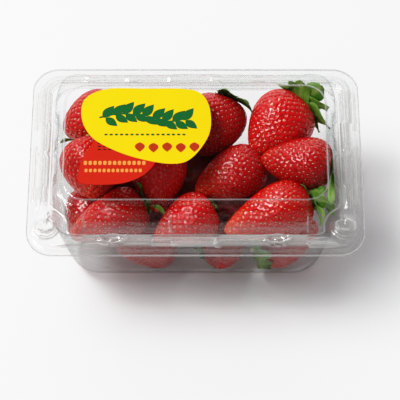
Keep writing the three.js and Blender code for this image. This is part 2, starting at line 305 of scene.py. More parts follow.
def formed_sheet(outlines, soften_rounds=2):
    """The upper surface of a formed sheet as a grid of rows (outlines) by columns, with its inset."""
    rows = []
    for inset_x, inset_y, radius, z, rise, bitten, _ in outlines:
        flat = punnet_outline(inset_x, inset_y, radius, bitten)
        height = z + rise * rising(snap_distance(flat), 9.0, 17.0)
        rows.append(np.column_stack([flat, height, np.full(len(flat), inset_x)]))
    between = [
        here * (1 - share) + there * share
        for outline, here, there in zip(outlines, rows, rows[1:])
        for share in np.linspace(0.0, 1.0, outline[-1], endpoint=False)
    ]
    sheet = np.array(between + rows[-1:])
    grid, inset = sheet[..., :3].copy(), sheet[:, :1, 3]
    for _ in range(soften_rounds):
        grid[1:-1] = (grid[:-2] + 2 * grid[1:-1] + grid[2:]) / 4
    return grid, inset


def grid_normals(grid):
    """The upward direction of the surface at each point of a grid."""
    across = np.gradient(grid, axis=0)
    around = np.roll(grid, -1, axis=1) - np.roll(grid, 1, axis=1)
    normal = np.cross(around, across)
    return normal / np.maximum(np.linalg.norm(normal, axis=2, keepdims=True), 1e-9)


def new_piece(name, points_mm, faces, body, sharp_deg=None):
    """A mesh piece from points in millimetres, smooth shaded, riding on a body."""
    mesh = bpy.data.meshes.new(name)
    mesh.from_pydata((np.asarray(points_mm) * MM).tolist(), [], faces)
    mesh.validate()
    mesh.shade_smooth()
    if sharp_deg is not None:
        mesh.set_sharp_from_angle(angle=math.radians(sharp_deg))
    piece = put_in_scene(name, mesh)
    if body is not None:
        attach(piece, body)
    return piece


def ring_faces(rows, columns, start=0, flip=False):
    """Quads between rows of equally many points that close on themselves."""
    i = np.arange(rows - 1)[:, None] * columns
    j = np.arange(columns)[None, :]
    a = start + i + j
    b = start + i + (j + 1) % columns
    quads = np.stack([a, b, b + columns, a + columns], axis=2).reshape(-1, 4)
    if flip:
        quads = quads[:, ::-1]
    return quads.tolist()


def fan_faces(columns, first, middle, flip=False):
    """Triangles from a closed row of points to the point in its middle."""
    pairs = [(first + i, first + (i + 1) % columns) for i in range(columns)]
    return [(b, a, middle) if flip else (a, b, middle) for a, b in pairs]


def sheet_bend(grid):
    """How sharply the sheet is bent at each point, from nothing to one: there the plastic is partly whitened
    and partly carries painted highlight and painted shade.
    """
    normal = grid_normals(grid)
    down = np.linalg.norm(np.gradient(normal, axis=0), axis=2)
    down /= np.maximum(np.linalg.norm(np.gradient(grid, axis=0), axis=2), 0.15)
    near = np.roll(normal, -1, axis=1) - np.roll(normal, 1, axis=1)
    reach = np.roll(grid, -1, axis=1) - np.roll(grid, 1, axis=1)
    across = np.linalg.norm(near, axis=2) / np.maximum(np.linalg.norm(reach, axis=2), 0.3)
    return rising(np.hypot(down, across), 0.18, 1.0)


def sheet_piece(name, grid, body, whitening_and_painted_lines):
    """A thin closed solid: the formed surface, its underside a sheet's thickness below, and the cut rim."""
    rows, columns = grid.shape[:2]
    under = grid - grid_normals(grid) * SHEET
    middles = [grid[-1].mean(axis=0), under[-1].mean(axis=0)]
    points = np.concatenate([grid.reshape(-1, 3), under.reshape(-1, 3), middles])
    half = rows * columns
    faces = ring_faces(rows, columns)
    faces += ring_faces(rows, columns, half, flip=True)
    faces += fan_faces(columns, half - columns, 2 * half)
    faces += fan_faces(columns, 2 * half - columns, 2 * half + 1, flip=True)
    for i in range(columns):
        j = (i + 1) % columns
        faces.append((i, half + i, half + j, j))
    piece = new_piece(name, points, faces, body, sharp_deg=60)
    piece.data.attributes.new("bend", "FLOAT", "POINT")
    bend = np.concatenate([whitening_and_painted_lines.ravel(), whitening_and_painted_lines.ravel(), [0.0, 0.0]]).astype(np.float32)
    piece.data.attributes["bend"].data.foreach_set("value", bend)
    return piece


# The middle of a front catch, and half its length and width.
CATCH = (45.5, -52.2, 6.8, 3.3)


def front_catch(grid, depth):
    """Presses the two oval catches into the front bead: each is a dish with a ridge across it."""
    across, along = from_place(grid, *CATCH)
    dish = falling(np.hypot(across, along), 0.35, 1.0)
    brim = line(np.hypot(across, along), 1.08, 0.16)
    ridge = line(across, 0.0, 0.22) * falling(np.abs(along), 0.5, 0.95)
    grid[..., 2] += depth * (-dish + 0.35 * brim + 0.75 * ridge * dish)


def snap_boss(grid, radius, height, button_height):
    """Raises the round boss of each corner snap, with a dished oval button on top of it."""
    oval_reach = np.hypot(*from_place(grid, SNAP_X, SNAP_Y, 5.4, 4.2))
    boss = falling(snap_distance(grid), radius, radius + 1.4)
    button = falling(oval_reach, 0.82, 1.0)
    dish = falling(oval_reach, 0.45, 0.75)
    grid[..., 2] += boss * height + button * button_height - dish * button_height * 0.7


def push_in(grid, axis, amount):
    """Presses walls inwards, along the punnet's length (axis 0) or its depth (axis 1)."""
    grid[..., axis] -= np.sign(grid[..., axis]) * amount


def gathered(x, edges, reach):
    """Places along a side, drawn closer together near the edges of what is pressed into it."""
    for edge in edges:
        away = np.clip((x - edge) / reach, -1.0, 1.0)
        x = x + reach * (away * np.abs(away) - away)
    return x


# The lid's relief: bays in the walls, ribs along the brim's ends, bumps on the back bead, the finger tab, the
# catches and the snaps. Points are gathered first where an edge of it has to be crisp.
TAB_LEFT = -24.2
TAB_RIGHT = 10.8
TAB_DROP = 0.5
BACK_WALL_REACH = 2.8
RIB_INSET = 3.1
RIB_HEIGHT = 0.4
BACK_BUMPS_X = (-60.7, -36.4, -12.1, 12.1, 36.4, 60.7)
BUMP_HEIGHT = 0.45
BAY_FOOT = 69.5
BAY_TOP = 85.1
BAY_DEPTH = 1.6
BACK_BAY_SHARE = 0.25
LONG_WALL_BAYS = ((-62, -14), (14, 62))
END_WALL_BAYS = ((-17, 0.5), (6.5, 22.5))

lid_grid, lid_inset = formed_sheet(LID_OUTLINES)
lid_x, lid_y, lid_z = lid_grid[..., 0], lid_grid[..., 1], lid_grid[..., 2]
along_front = (lid_y < -36) & (np.abs(lid_x) < 70)
front_edges = (-62.0, TAB_LEFT, -14.0, TAB_RIGHT, 62.0)
lid_x[:] = np.where(along_front, gathered(lid_x, front_edges, 4.0), lid_x)
by_snap = (np.abs(lid_x) > 70) * falling(lid_inset, 12.0, 12.45)
lid_y += (gathered(lid_y, (SNAP_Y + 3.1,), 2.5) - lid_y) * by_snap

on_back_wall = rising(lid_y, 36.0, 43.5) * falling(lid_inset, 16.7, 19.7)
lid_y += BACK_WALL_REACH * rising(lid_z, 67.5, 82.0) * on_back_wall * (lid_inset > 12.3)
on_ends = window(lid_y, -27.0, 8.0, 0.6) + window(lid_y, 19.0, 44.0, 0.6)
rib = line(lid_inset, RIB_INSET, 0.45) * on_ends * (np.abs(lid_x) > 80)
lid_z += RIB_HEIGHT * rib
on_back_bead = window(lid_inset, 6.4, 9.6, 0.8) * (lid_y > 45)
for bump_x in BACK_BUMPS_X:
    lid_z += BUMP_HEIGHT * on_back_bead * window(np.abs(lid_x - bump_x), -1.0, 2.6, 1.2)
front_bead = window(lid_inset, 5.6, 10.8, 0.4) * (lid_y < -45)
lid_z -= TAB_DROP * front_bead * window(lid_x, TAB_LEFT, TAB_RIGHT, 0.3)
front_catch(lid_grid, depth=2.5)
snap_boss(lid_grid, radius=6.9, height=1.5, button_height=1.3)

in_bay_height = window(lid_z, BAY_FOOT, BAY_TOP, 0.9)
in_long_bay = sum(window(lid_x, start, end, 0.9) for start, end in LONG_WALL_BAYS)
in_end_bay = sum(window(lid_y, start, end, 1.6) for start, end in END_WALL_BAYS)
long_push = in_long_bay * in_bay_height * rising(np.abs(lid_y), 38.6, 42.5) * BAY_DEPTH
end_push = in_end_bay * in_bay_height * rising(np.abs(lid_x), 74.5, 77.0) * BAY_DEPTH
push_in(lid_grid, 1, long_push * np.where(lid_y > 0, BACK_BAY_SHARE, 1.0))
push_in(lid_grid, 0, end_push)

# Where the plastic is whitened and greyed, partly as real whitening and partly as painted highlight and painted
# shade that stand in for light bent at the folds: at its bends, though less at four that stay clear; along the
# bead and the fine lines beside it; round the tab, the buttons and the catches; along the back shoulder; at the
# cut edge; and in a band low on the front wall, which is a painted reflection.
BEAD_LINES = ((5.7, 0.9), (7.7, 0.8), (10.8, 0.9))
BUTTON_HALVES = (5.3, 3.1)

from_snap = snap_distance(lid_grid)
on_ledge = window(lid_inset, 15.2, 20.1, 0.3)
on_panel_edge = window(lid_inset, 20.2, 22.0, 0.2) * (lid_y < -30)
at_snap = falling(from_snap, 8.6, 9.6)
at_back_foot = window(lid_inset, 10.4, 14.1, 0.3) * (lid_y > 44)
lid_bends = sheet_bend(lid_grid) * (1.0 - 0.85 * on_ledge) * (1.0 - 0.5 * on_panel_edge)
lid_bends = lid_bends * (1.0 - 0.8 * at_snap) * (1.0 - 0.7 * at_back_foot)
lid_bead = window(lid_inset, 6.3, 10.2, 0.5) * rising(from_snap, 10.0, 18.0)
bead_lines = sum(share * line(lid_inset, inset, 0.32) for inset, share in BEAD_LINES)
bead_lines = bead_lines * rising(from_snap, 10.0, 14.0) * np.where(lid_y > 44, 0.4, 1.0)
tab_lines = front_bead * sum(line(lid_x, edge, 0.4) for edge in (TAB_LEFT, TAB_RIGHT))
button_across, button_along = from_place(lid_grid, SNAP_X, SNAP_Y, *BUTTON_HALVES)
button_line = line((button_across ** 4 + button_along ** 4) ** 0.25, 1.0, 0.11)
catch_line = 0.8 * line(np.hypot(*from_place(lid_grid, *CATCH)), 1.0, 0.13)
# A band low on the front wall is whitened as a painted reflection, the veil that the wall shows.
painted_veil_band = window(lid_z, 68.6, 75.6, 0.4) * (lid_y < -40) * (np.abs(lid_x) < 76) * (lid_inset > 11)
back_shoulder = 0.55 * line(lid_inset, 15.5, 0.35) * rising(lid_y, 38.0, 44.0)
lid_cut_edge = 0.7 * falling(lid_inset, 0.25, 0.7)
# The lid's sheet carries this mask as painted highlight and painted shade, besides real whitening.
lid_whitening_and_painted_lines = np.maximum.reduce(np.broadcast_arrays(
    lid_bends, 0.22 * lid_bead, bead_lines, tab_lines, button_line, catch_line, 0.15 * painted_veil_band,
    back_shoulder, lid_cut_edge,
))
lid_piece = sheet_piece("clear_lid", lid_grid, "lid", lid_whitening_and_painted_lines)
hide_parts("lid")

PET_INDEX = 1.55
CLEAR = (0.985, 0.988, 0.986, 1.0)
# This grey and the milky white below it are mixed in where the sheet bends: painted shade and painted
# highlight, besides real whitening.
CLEAR_BENT_AND_PAINTED_SHADE = (0.77, 0.77, 0.76, 1.0)
LID_EDGE_ON = (0.57, 0.60, 0.59, 1.0)
MILKY_AND_PAINTED_HIGHLIGHT = (0.89, 0.88, 0.87, 1.0)


def noise(tree, scale, detail):
    """Soft random clouds that stay fixed to the object."""
    place = node(tree, "ShaderNodeTexCoord").outputs["Object"]
    return node(tree, "ShaderNodeTexNoise", {"Vector": place, "Scale": scale, "Detail": detail}).outputs["Fac"]


def bumped(tree, height, strength, distance):
    """The direction of a surface that is roughened by a pattern of heights."""
    bump = node(tree, "ShaderNodeBump", {"Height": height, "Strength": strength, "Distance": distance})
    return bump.outputs["Normal"]


def mixed(tree, share, first, second, blend_type="MIX"):
    """A colour that runs from the first to the second as the share goes up."""
    inputs = {"Factor": share, "A": first, "B": second}
    return node(tree, "ShaderNodeMix", inputs, data_type="RGBA", blend_type=blend_type).outputs["Result"]


def overlaid(tree, share, under, over):
    """Two shaders in one surface, the second by its share."""
    return node(tree, "ShaderNodeMixShader", {0: share, 1: under, 2: over}).outputs["Shader"]


def clear_pet(name, edge_on, mirror, milk_and_painted_highlight, roughness):
    """Thin clear sheet: it lets light straight through, greys where it is seen edge on, reflects by its angle
    from either face, and where the forming bent it is whitened and greyed, partly as real whitening and partly
    as painted highlight and painted shade."""
    material, tree, unused_shader = new_material(name)
    tree.nodes.remove(unused_shader)
    rippled = bumped(tree, noise(tree, 45.0, 1.0), 0.06, 0.001)
    backfacing = node(tree, "ShaderNodeNewGeometry").outputs["Backfacing"]
    index = calc(tree, "MULTIPLY_ADD", backfacing, 1 / PET_INDEX - PET_INDEX, PET_INDEX)
    fresnel = node(tree, "ShaderNodeFresnel", {"IOR": index, "Normal": rippled}).outputs["Fac"]
    facing = node(tree, "ShaderNodeLayerWeight", {"Blend": 0.2}).outputs["Facing"]
    bend = node(tree, "ShaderNodeAttribute", attribute_name="bend").outputs["Fac"]
    tint = mixed(tree, bend, mixed(tree, calc(tree, "POWER", facing, 2.0), CLEAR, edge_on), CLEAR_BENT_AND_PAINTED_SHADE)
    through = node(tree, "ShaderNodeBsdfTransparent", {"Color": tint}).outputs["BSDF"]
    gloss = node(tree, "ShaderNodeBsdfGlossy", {"Roughness": roughness, "Normal": rippled}).outputs["BSDF"]
    glint = calc(tree, "MULTIPLY_ADD", bend, 0.10, calc(tree, "MULTIPLY", fresnel, mirror))
    milk = node(tree, "ShaderNodeBsdfDiffuse", {"Color": MILKY_AND_PAINTED_HIGHLIGHT}).outputs["BSDF"]
    sheet = overlaid(tree, calc(tree, "MULTIPLY", bend, milk_and_painted_highlight), overlaid(tree, glint, through, gloss), milk)
    feed(tree.nodes["Material Output"], {"Surface": sheet})
    return material


lid_piece.data.materials.append(clear_pet("clear_pet_lid", LID_EDGE_ON, 0.26, 0.30, 0.04))


# ---------------------------------------------------------------- tray
# The tray is formed from the same clear sheet: a brim that lies under the lid's, a lower bead that nests in
# the lid's bead, sloping walls with shallow flutes and a row of round dimples near the foot, and a floor with
# a shallow recess.
TRAY_OUTLINES = [
    (0.0, 0.0, 15.0, 67.2, 0.0, False, 7),
    (7.0, 7.0, 9.1, 67.2, 0.0, False, 3),
    (7.7, 7.7, 8.5, 67.2, 0.9, False, 4),
    (9.6, 9.6, 7.2, 67.2, 0.9, False, 3),
    (10.3, 10.3, 6.9, 67.2, 0.0, False, 5),
    (12.8, 13.2, 12.6, 67.2, 0.0, False, 4),
    (14.1, 14.5, 12.5, 65.6, 0.0, False, 19),
    (20.8, 18.85, 16.0, 10.0, 0.0, False, 5),
    (22.8, 20.85, 16.0, 4.2, 0.0, False, 4),
    (26.6, 24.65, 15.5, 1.4, 0.0, False, 4),
    (31.1, 29.15, 14.0, 0.5, 0.0, False, 3),
    (38.0, 35.65, 12.0, 0.5, 0.0, False, 3),
    (40.0, 37.65, 11.0, 2.0, 0.0, False, 3),
    (56.0, 49.65, 7.0, 2.0, 0.0, False, 1),
]
DIMPLES_X = (-52.0, -26.0, 0.0, 26.0, 52.0)
DIMPLE_HEIGHT = 13.0
DIMPLE_RADIUS = 3.2
DIMPLE_DEPTH = 1.5
FLUTES_X = (-45.0, -15.0, 15.0, 45.0)
FLUTE_HALF_WIDTH = 2.6
FLUTE_DEPTH = 0.7
TRAY_EDGE_ON = (0.45, 0.49, 0.48, 1.0)

tray_grid, tray_inset = formed_sheet(TRAY_OUTLINES)
tray_x, tray_y, tray_z = tray_grid[..., 0], tray_grid[..., 1], tray_grid[..., 2]
snap_boss(tray_grid, radius=6.1, height=1.3, button_height=0.6)
at_dimples = line(tray_z, DIMPLE_HEIGHT, 0.6 * DIMPLE_RADIUS)
at_flutes = window(tray_z, 18.0, 52.0, 4.0)
for places_x, half_width, at_height, depth in (
    (DIMPLES_X, 0.6 * DIMPLE_RADIUS, at_dimples, DIMPLE_DEPTH),
    (FLUTES_X, FLUTE_HALF_WIDTH, at_flutes, FLUTE_DEPTH),
):
    for place_x in places_x:
        push_in(tray_grid, 1, at_height * line(tray_x, place_x, half_width) * depth * (np.abs(tray_y) > 36))
front_catch(tray_grid, depth=1.7)
# The tray is whitened at its bends and cut edge, partly as painted highlight and painted shade.
tray_whitening_and_painted_lines = np.maximum(sheet_bend(tray_grid), 0.8 * falling(tray_inset, 0.25, 0.7))
tray_piece = sheet_piece("clear_tray", tray_grid, "base", tray_whitening_and_painted_lines)
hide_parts("tray")
tray_piece.data.materials.append(clear_pet("clear_pet_tray", TRAY_EDGE_ON, 0.72, 0.20, 0.05))


# ---------------------------------------------------------------- hinge fold
# Lid and tray are one sheet in the real pack, folded along the back in a thin living hinge that bends as the
# lid opens; here the fold is one fixed piece in its shut shape.
FOLD_HALF_WIDTH = 70.0
FOLD_ROWS = 29
FOLD_STEPS = 15
FOLD_THICKNESS = 0.12
FOLD_REACH = 0.55
FOLD_HALF_HEIGHT = 0.42
FOLD_MIDDLE = 67.35


def slab_faces(rows, columns):
    """Faces of a thin closed slab: the grid of its upper points and, after them, that of its lower ones."""
    below = rows * columns
    faces = []
    for i in range(rows - 1):
        for a in range(i * columns, (i + 1) * columns - 1):
            faces.append((a, a + columns, a + columns + 1, a + 1))
            faces.append((below + a, below + a + 1, below + a + columns + 1, below + a + columns))
        first, last = i * columns, (i + 1) * columns - 1
        faces.append((first, below + first, below + first + columns, first + columns))
        faces.append((last + columns, below + last + columns, below + last, last))
    for a in range(columns - 1):
        faces.append((a, a + 1, below + a + 1, below + a))
        b = below - columns + a
        faces.append((below + b, below + b + 1, b + 1, b))
    return faces


fold_x = np.linspace(-FOLD_HALF_WIDTH, FOLD_HALF_WIDTH, FOLD_ROWS)[:, None]
fold_turn = np.linspace(-math.pi / 2, math.pi / 2, FOLD_STEPS)[None, :]
fold_points = np.concatenate([
    np.stack(np.broadcast_arrays(
        fold_x, HALF_DEPTH - 0.1 + (FOLD_REACH - inward) * np.cos(fold_turn),
        FOLD_MIDDLE + (FOLD_HALF_HEIGHT - inward * 0.6) * np.sin(fold_turn),
    ), axis=2).reshape(-1, 3)
    for inward in (0.0, FOLD_THICKNESS)
])
fold_faces = slab_faces(FOLD_ROWS, FOLD_STEPS)
hinge_fold = new_piece("hinge_fold", fold_points, fold_faces, None, sharp_deg=60)
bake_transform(hinge_fold)
hinge_fold.data.materials.append(clear_pet("clear_pet_fold", TRAY_EDGE_ON, 0.8, 0.0, 0.08))


# ---------------------------------------------------------------- sticker
# A printed film sticker on the lid's panel: a big soft-cornered yellow oval laid over the right end of a
# warm red field, with a leafy sprig, rows of marks and small berry shapes printed on them.
STICKER_BASE = LID_PANEL_TOP + 0.03
OVERPRINT = 0.0015
STICKER_YELLOW = (1.0, 0.66, 0.0, 1.0)
STICKER_RED = (0.60, 0.024, 0.007, 1.0)
SPRIG_GREEN = (0.012, 0.13, 0.035, 1.0)
SMALL_BERRY_RED = (0.50, 0.045, 0.010, 1.0)
FIELD_MARK_ORANGE = (0.95, 0.36, 0.08, 1.0)
DARK_MARK_BROWN = (0.06, 0.012, 0.006, 1.0)


def oval(x, y, half_x, half_y, power, count=16):
    """An oval outline, squarer as the power goes up from two."""
    angle = np.linspace(0.0, 2 * math.pi, count, endpoint=False)
    cos, sin = np.cos(angle), np.sin(angle)
    return np.stack([
        x + half_x * np.sign(cos) * np.abs(cos) ** (2 / power),
        y + half_y * np.sign(sin) * np.abs(sin) ** (2 / power),
    ], axis=1)


def smooth_outline(corners, steps=8):
    """A closed curve that runs smoothly through a die's corner points."""
    corners = np.array(corners)
    before, after, beyond = np.roll(corners, 1, 0), np.roll(corners, -1, 0), np.roll(corners, -2, 0)
    share = np.linspace(0.0, 1.0, steps, endpoint=False)[None, :, None]
    slope_here = 0.5 * (after - before)[:, None]
    slope_there = 0.5 * (beyond - corners)[:, None]
    here, there = corners[:, None], after[:, None]
    curve = (
        here * (2 * share ** 3 - 3 * share ** 2 + 1) + there * (3 * share ** 2 - 2 * share ** 3)
        + slope_here * (share ** 3 - 2 * share ** 2 + share) + slope_there * (share ** 3 - share ** 2)
    )
    return curve.reshape(-1, 2)


def spin(angle_deg):
    """A turn about the upright axis."""
    cos, sin = math.cos(math.radians(angle_deg)), math.sin(math.radians(angle_deg))
    return np.array([[cos, -sin, 0], [sin, cos, 0], [0, 0, 1]])


def leaf_outline(x, y, length, width, angle_deg, count=13):
    """A pointed leaf shape that starts at a point and grows away from it."""
    share = np.linspace(0.0, 1.0, count)
    half = width / 2 * np.sin(math.pi * share ** 0.8)
    upper = np.stack([length * share, half], axis=1)
    lower = np.stack([length * share, -half], axis=1)[1:-1]
    return np.concatenate([lower, upper[::-1]]) @ spin(angle_deg)[:2, :2].T + (x, y)


def sticker_film(name, colour):
    """Printed film: a satin ink with a faint cloudiness and a slight orange-peel surface."""
    material, tree, shader = new_material(name)
    shade = tuple(channel * 0.93 for channel in colour[:3]) + (1.0,)
    ink = mixed(tree, noise(tree, 45.0, 3.0), shade, colour)
    peel = bumped(tree, noise(tree, 420.0, 2.0), 0.12, 0.0004)
    feed(shader, {"Base Color": ink, "Normal": peel, "Roughness": 0.5, "Specular IOR Level": 0.18})
    glow = node(tree, "ShaderNodeBsdfTranslucent", {"Color": ink}).outputs["BSDF"]
    film = overlaid(tree, 0.22, shader.outputs["BSDF"], glow)
    feed(tree.nodes["Material Output"], {"Surface": film})
    return material


def print_plates(name, outlines, low, high, colour):
    """Flat printed shapes as one piece of thin closed plates, each laid a hair over the one before."""
    points = []
    faces = []
    for index, outline in enumerate(outlines):
        following = np.roll(outline, -1, axis=0)
        area = np.sum(outline[:, 0] * following[:, 1] - following[:, 0] * outline[:, 1])
        outline = outline if area > 0 else outline[::-1]
        start, count = len(points), len(outline)
        top, under = STICKER_BASE + high + OVERPRINT * index, STICKER_BASE + low
        points += [(x, y, top) for x, y in outline] + [(x, y, under) for x, y in outline]
        faces.append(tuple(range(start, start + count)))
        faces.append(tuple(reversed(range(start + count, start + 2 * count))))
        for i in range(count):
            j = (i + 1) % count
            faces.append((start + i, start + count + i, start + count + j, start + j))
    plate = new_piece(name, points, faces, "lid", sharp_deg=30)
    plate.data.materials.append(sticker_film(name + "_ink", colour))
    return plate


YELLOW_OVAL = smooth_outline([
    (-50, 34), (-28, 34.2), (-6, 34), (3.5, 30.5), (8.2, 20), (7.5, 4), (-2, -11), (-13, -14.8),
    (-31, -11.5), (-47, -5.2), (-58.5, 3), (-64, 15), (-62.3, 27.5),
])
RED_FIELD = smooth_outline([
    (-52, 2), (-59, -4), (-63.3, -13), (-65, -23.5), (-62.5, -27.2), (-50, -28), (-38, -26.5),
    (-27.5, -20.8), (-21.5, -11), (-28, -2),
])
yellow_plate = print_plates("sticker_yellow", [YELLOW_OVAL], 0.08, 0.14, STICKER_YELLOW)
red_plate = print_plates("sticker_red", [RED_FIELD], 0.0, 0.06, STICKER_RED)
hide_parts("sticker")
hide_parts("sticker")

SPRIG_LEAVES = 9
SPRIG_RISE = 2.6
STEM_HALF_WIDTH = 0.55
sprig = []
for k in range(SPRIG_LEAVES):
    leaf_x = -52.0 + 5.6 * k
    leaf_y = 15.0 + SPRIG_RISE * math.sin(0.7 * k)
    sprig.append(leaf_outline(leaf_x, leaf_y, 10.0, 5.4, 52 - 6 * (k % 2)))
    sprig.append(leaf_outline(leaf_x + 1.5, leaf_y - 0.2, 8.6, 4.8, -38 + 5 * (k % 2)))
stem_share = np.linspace(0.0, 1.0, 30)
stem_y = 15.0 + SPRIG_RISE * np.sin(0.7 * SPRIG_LEAVES * stem_share)
stem_line = np.stack([-54 + 50 * stem_share, stem_y], axis=1)
sprig.append(np.concatenate([stem_line - [0, STEM_HALF_WIDTH], (stem_line + [0, STEM_HALF_WIDTH])[::-1]]))
for k in range(16):
    sprig.append(oval(-50.0 + 2.9 * k, 4.0, 0.95, 0.6, 2.4))
print_plates("sticker_sprig", sprig, 0.14, 0.17, SPRIG_GREEN)

small_berries = [leaf_outline(-31.0 + 7.6 * k, -1.0 - 0.4 * (k % 2), 6.2, 5.6, -90) for k in range(5)]
print_plates("sticker_small_berries", small_berries, 0.14, 0.17, SMALL_BERRY_RED)

field_marks = []
for k in range(13):
    field_marks.append(oval(-61.0 + 2.7 * k, -14.2, 0.95, 1.3, 3.0))
    field_marks.append(oval(-60.5 + 2.5 * k, -19.0, 0.85, 1.1, 3.0))
print_plates("sticker_field_marks", field_marks, 0.06, 0.08, FIELD_MARK_ORANGE)

dark_marks = [
    oval(-53.5 + 2.9 * k, 0.4 - 2.0 * row, 1.0, 0.42, 2.6, 12) for row in range(4) for k in range(5 - row % 2)
]
print_plates("sticker_dark_marks", dark_marks, 0.06, 0.08, DARK_MARK_BROWN)


# ---------------------------------------------------------------- berries
# Whole ripe berries, laid loosely in the tray, the largest on top. Each is a plump, slightly lobed cone with a
# soft ridge between its sunk seeds. The tip of a berry and its shaded side ripen less than the rest. The skin
# is painted darker in the pits as shade and lighter on the ridges as a highlight.
SHOWING = "abcdefghij"
SEED_SPACING = 3.25
PIT_DEPTH = 0.66
PIT_RADIUS = 1.5
RIDGE_HEIGHT = 0.06
RIDGE_HALF_WIDTH = 0.7
GOLDEN_TURN = math.pi * (3 - math.sqrt(5))
DEEP_RED = np.array([0.26, 0.003, 0.007])
BRIGHT_RED = np.array([0.72, 0.010, 0.010])
TIP_ORANGE = np.array([0.88, 0.085, 0.022])

# Name, middle, heading of the tip in plan, tilt (tip up), length, width, taper, leaves, and the tones: how
# bright the skin is, how orange its tip is, and how yellow its seeds are.
BERRIES = [
    ("a", (-59.5, 29, 64), 200, -15, 36, 32, 0.25, 5, 0.60, 0.15, 0.30),
    ("b", (-59, -4, 66), 278, -8, 37, 35, 0.25, 6, 0.68, 0.55, 0.70),
    ("c", (-49, -30, 52), 203, -10, 48, 31, 0.38, 6, 0.62, 0.45, 0.40),
    # Berry d's skin is set to the brightest tone as painted light, making up for the sticker's shadow that
    # falls on it.
    ("d", (-21.5, -5, 58), 268, -38, 41, 33, 0.34, 5, 1.00, 0.50, 0.15),
    ("e", (11, 26.5, 62), 248, -18, 38, 35, 0.28, 7, 0.55, 0.10, 0.20),
    ("f", (47, 24, 64), 230, -2, 44, 36, 0.36, 7, 0.85, 0.12, 0.15),
    ("g", (58.2, -1.5, 67), 172, -5, 43, 31, 0.38, 7, 0.50, 0.30, 0.25),
    ("h", (20, -4.5, 57), 207, 0, 45, 31, 0.38, 5, 0.50, 1.00, 0.20),
    ("i", (41.5, -30, 58), 200, -8, 54, 31, 0.45, 8, 0.80, 0.95, 0.95),
    ("j", (-5.5, -32.5, 52), 208, -8, 40, 29, 0.40, 5, 0.85, 0.45, 0.15),
    ("m", (-22.5, 29.5, 53), 180, -10, 36, 31, 0.35, 5, 0.40, 0.20, 0.40),
    ("k", (-62, -19.5, 37), 250, 10, 36, 30, 0.30, 5, 0.50, 0.40, 0.50),
    ("l", (-28.5, -26.5, 19), 190, 0, 38, 34, 0.38, 5, 0.60, 0.50, 0.60),
    ("n", (16, -24, 19), 35, 0, 36, 33, 0.38, 5, 0.60, 0.30, 0.60),
    ("o", (53, -24, 19), 20, 5, 40, 33, 0.38, 6, 0.70, 0.50, 0.60),
    ("p", (-51.5, 18, 22), 120, -50, 42, 36, 0.38, 5, 0.50, 0.40, 0.50),
    ("q", (-11.5, 12, 22), 20, -25, 40, 34, 0.38, 5, 0.50, 0.40, 0.50),
    ("r", (26, 17, 25), 110, -45, 42, 34, 0.38, 5, 0.50, 0.40, 0.50),
    ("s", (59.5, 14, 23), 80, -60, 44, 33, 0.38, 5, 0.50, 0.40, 0.50),
]


class Berry:
    """One berry's sizes, and its skin as a function of how far down from the leaves and round the axis."""

    def __init__(self, name, at, heading, tilt, length, width, taper, leaves, bright, orange, seed_yellow):
        self.name, self.length, self.width, self.taper, self.leaves = name, length, width, taper, leaves
        self.bright, self.orange, self.seed_yellow = bright, orange, seed_yellow
        self.showing = name in SHOWING
        self.rng = np.random.default_rng(1000 + ord(name))
        self.lobe_turns = self.rng.uniform(0, 2 * math.pi, 3)
        self.bend = self.rng.uniform(-1.0, 1.0)
        back = math.pi / 2 - math.radians(tilt)
        tip_over = np.array([
            [math.cos(back), 0, math.sin(back)], [0, 1, 0], [-math.sin(back), 0, math.cos(back)],
        ])
        self.rotation = spin(heading) @ tip_over
        self.middle = np.array(at, float)
        swell = np.linspace(0, math.pi, 400)
        self.widest = np.max(np.sin(swell) * (1 + taper * np.cos(swell)))
        self.seed_down, self.seed_turn = self.seeds()

    def placed(self, points):
        """Points of the upright berry, moved to where it lies in the heap."""
        return points @ self.rotation.T + self.middle

    def half_width(self, down):
        """Half the berry's width without its lobes."""
        return self.width / 2 * np.sin(down) * (1 + self.taper * np.cos(down)) / self.widest

    def skin(self, down, turn):
        """Points of the smooth skin. Down runs from 0 at the leaves to pi at the tip."""
        two, three, five = self.lobe_turns
        lobes = 0.030 * np.cos(2 * turn + two) + 0.022 * np.cos(3 * turn + three)
        lobes = lobes + 0.010 * np.cos(5 * turn + five + 2 * down)
        radius = self.half_width(down) * (1 + lobes * np.sin(down))
        axial = -self.length / 2 * np.cos(down)
        dip = 2.2 * line(radius, 0.0, 0.26 * self.width) * (down < math.pi / 2)
        sway = self.bend * (axial / (self.length / 2)) ** 2
        return np.stack([radius * np.cos(turn) + sway, radius * np.sin(turn), axial + dip], axis=-1)

    def skin_normal(self, down, turn):
        """The outward direction of the skin at each point."""
        step = 1e-3
        along = self.skin(down + step, turn) - self.skin(down - step, turn)
        around = self.skin(down, turn + step) - self.skin(down, turn - step)
        normal = np.cross(around, along)
        return normal / np.maximum(np.linalg.norm(normal, axis=-1, keepdims=True), 1e-12)

    def seeds(self):
        """Places of the seeds, spread evenly over the skin along a golden spiral, with a little scatter."""
        down = np.linspace(0.001, math.pi - 0.001, 400)
        profile = self.skin(down, np.zeros_like(down))
        radius = self.half_width(down)
        run = np.linalg.norm(np.diff(profile, axis=0), axis=1)
        band = 2 * math.pi * (radius[1:] + radius[:-1]) / 2 * run
        area = np.concatenate([[0.0], np.cumsum(band)])
        count = int(area[-1] / (0.866 * SEED_SPACING ** 2))
        wanted = (np.arange(count) + 0.5) / count * area[-1]
        wanted += self.rng.uniform(-0.3, 0.3, count) * area[-1] / count * 10
        seed_down = np.interp(wanted, area, down)
        seed_radius = np.interp(seed_down, down, radius)
        seed_turn = np.arange(count) * GOLDEN_TURN
        seed_turn += self.rng.uniform(-0.65, 0.65, count) / np.maximum(seed_radius, 1.5)
        below_leaves = seed_down > 0.42
        return seed_down[below_leaves], seed_turn[below_leaves]


